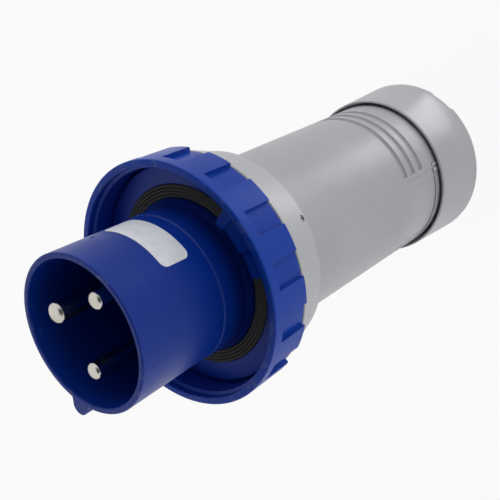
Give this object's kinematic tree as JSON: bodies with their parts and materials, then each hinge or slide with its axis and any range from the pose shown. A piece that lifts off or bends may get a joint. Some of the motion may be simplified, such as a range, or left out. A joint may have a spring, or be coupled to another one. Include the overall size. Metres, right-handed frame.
{
  "type": "industrial pin and sleeve plug",
  "caption": "Upright pin and sleeve power plug: keyed blue sleeve round recessed pins, turning bayonet locking ring, flared grey handle and a screwed cable gland cap.",
  "frame": {"origin": "centre of the gland cap's rear face, which the plug stands on; also the bottom centre of its bounding box", "axes": "+Z along the plug's axis from the cable entry to the pins; -Y through the key of the shroud; -X through the earth pin"},
  "size_m": [0.1156, 0.1156, 0.251],
  "materials": {
    "blue_shell": "moulded nylon, satin",
    "blue_ring": "moulded nylon, satin",
    "gasket_rubber": "matte",
    "pin_metal": "nickel-plated brass",
    "carrier_plastic": "glass-filled nylon",
    "screw_steel": "zinc plated",
    "label_film": "bare printed-label film",
    "grey_handle": "moulded nylon, fine satin",
    "grey_cap": "moulded nylon, fine satin",
    "seal_rubber": "matte",
    "clamp_plastic": "glass-filled nylon",
    "grommet_rubber": "matte",
    "washer_plastic": "acetal",
    "catch_plastic": "moulded nylon"
  },
  "bodies": {
    "plug": {"shroud": "blue_shell", "face_gasket": "gasket_rubber", "earth_pin": "pin_metal", "line_pin_a": "pin_metal", "line_pin_b": "pin_metal", "contact_carrier": "carrier_plastic", "carrier_screws": "screw_steel", "earth_clamp_screws": "screw_steel", "line_clamp_screws_a": "screw_steel", "line_clamp_screws_b": "screw_steel", "rating_label": "label_film", "handle_body": "grey_handle", "body_seal": "seal_rubber", "body_lock_screw": "screw_steel", "cord_clamp_base": "clamp_plastic", "cord_clamp_jaw": "clamp_plastic", "cord_clamp_screws": "screw_steel", "cable_grommet": "grommet_rubber", "cap_catch": "catch_plastic"},
    "ring": {"locking_ring": "blue_ring"},
    "washer": {"slip_washer": "washer_plastic"},
    "cap": {"gland_cap": "grey_cap"}
  },
  "joints": [
    {"name": "ring_turn", "type": "hinge", "parent": "plug", "child": "ring", "pos_m": [0, 0, 0.1774], "axis": [0, 0, 1], "continuous": true},
    {"name": "cap_travel", "type": "slide", "parent": "plug", "child": "washer", "axis": [0, 0, -1], "range_m": [0, 0.00901]},
    {"name": "cap_turn", "type": "hinge", "parent": "washer", "child": "cap", "pos_m": [0, 0, 0], "axis": [0, 0, -1], "range_deg": [0, 1080]}
  ],
  "couplings": [
    {"joint": "cap_travel", "follows": "cap_turn", "m_per_rad": 0.00047746}
  ]
}
